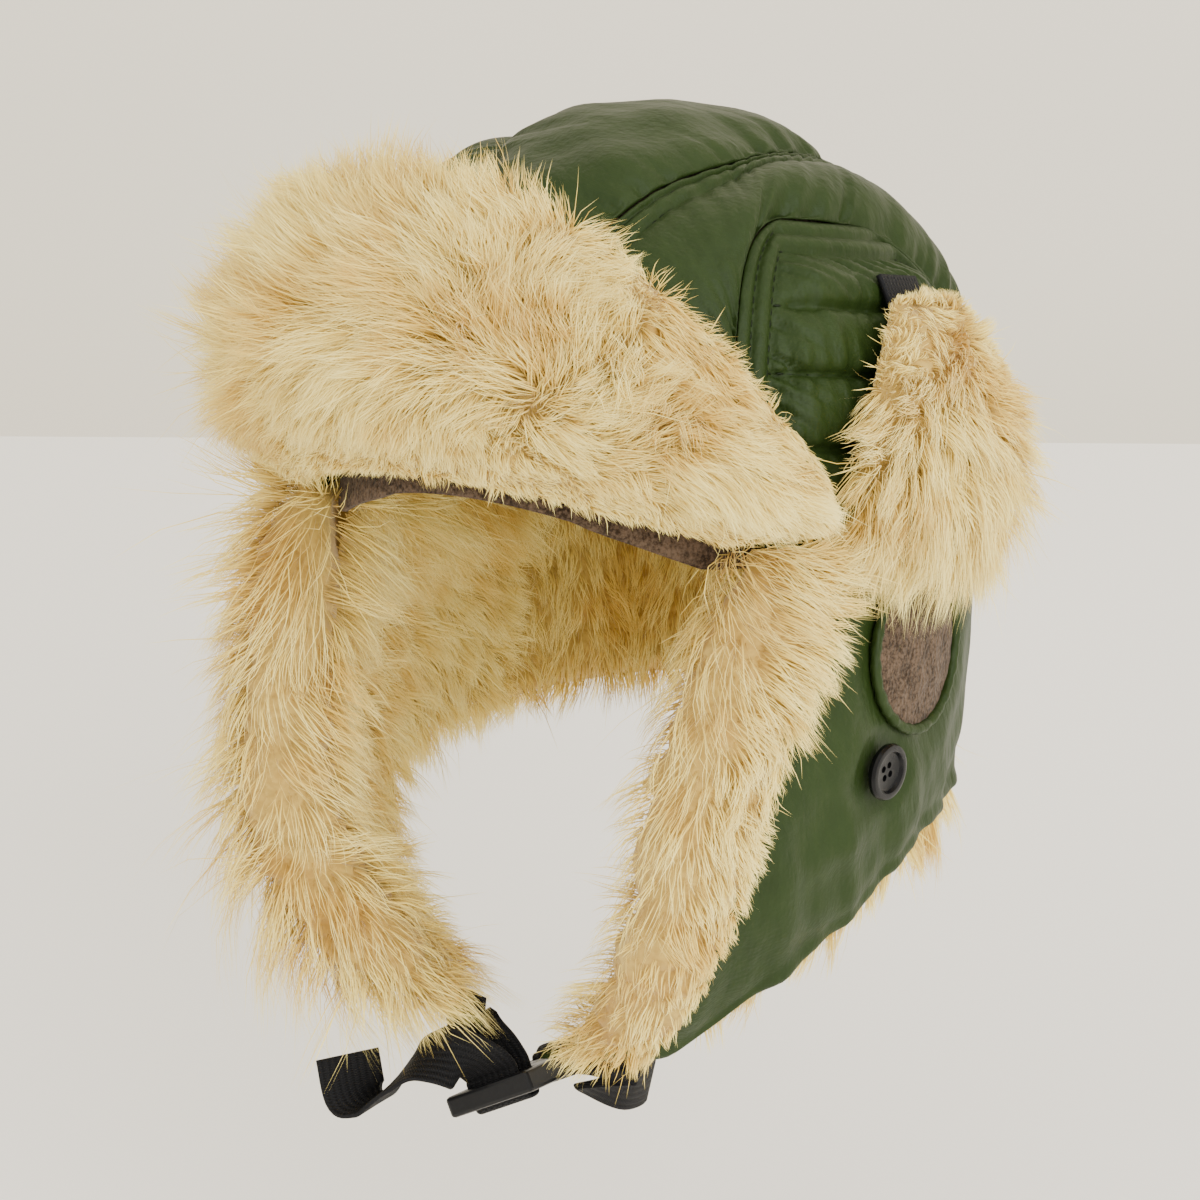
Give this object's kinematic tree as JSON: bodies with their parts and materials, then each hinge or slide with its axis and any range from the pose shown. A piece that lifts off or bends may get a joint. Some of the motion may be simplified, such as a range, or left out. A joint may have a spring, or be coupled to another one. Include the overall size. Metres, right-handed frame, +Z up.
{
  "type": "flight cap",
  "caption": "Padded winter flight cap with a turned-up fur visor, hanging fur-lined ear flaps, raised ear covers and a buckled chin strap.",
  "frame": {"origin": "centre of the head band, at the middle of the head opening, where the cap is carried by the wearer's head", "axes": "+Z up with the wearer's head upright, +X to the wearer's left, -Y forward; the cap sits tilted back, low at the nape"},
  "size_m": [0.253, 0.2839, 0.3267],
  "materials": {
    "nylon": "padded nylon, soft sheen",
    "knit": "heather knit, matte",
    "fur": "deep pile",
    "hook_tape": "matte",
    "webbing": "woven, matte",
    "buckle_plastic": "satin",
    "button_plastic": "gloss"
  },
  "bodies": {
    "root": {"crown_center_panel": "nylon", "crown_upper_panel_left": "nylon", "crown_upper_panel_right": "nylon", "crown_side_panel_left": "nylon", "crown_side_panel_right": "nylon", "crown_lining": "knit", "neck_panel": "nylon", "neck_fur": "fur", "visor_backing": "nylon", "visor_fur": "fur", "ear_flap_left": "nylon", "ear_flap_right": "nylon", "ear_flap_fur_left": "fur", "ear_flap_fur_right": "fur", "ear_cover_left": "nylon", "ear_cover_right": "nylon", "ear_cover_fur_left": "fur", "ear_cover_fur_right": "fur", "hook_tab_left": "hook_tape", "hook_tab_right": "hook_tape", "ear_patch_left": "knit", "ear_patch_right": "knit", "patch_piping_left": "nylon", "patch_piping_right": "nylon", "button_left": "button_plastic", "button_right": "button_plastic", "strap_left": "webbing", "strap_right": "webbing", "buckle_female": "buckle_plastic", "buckle_male": "buckle_plastic"}
  },
  "joints": []
}
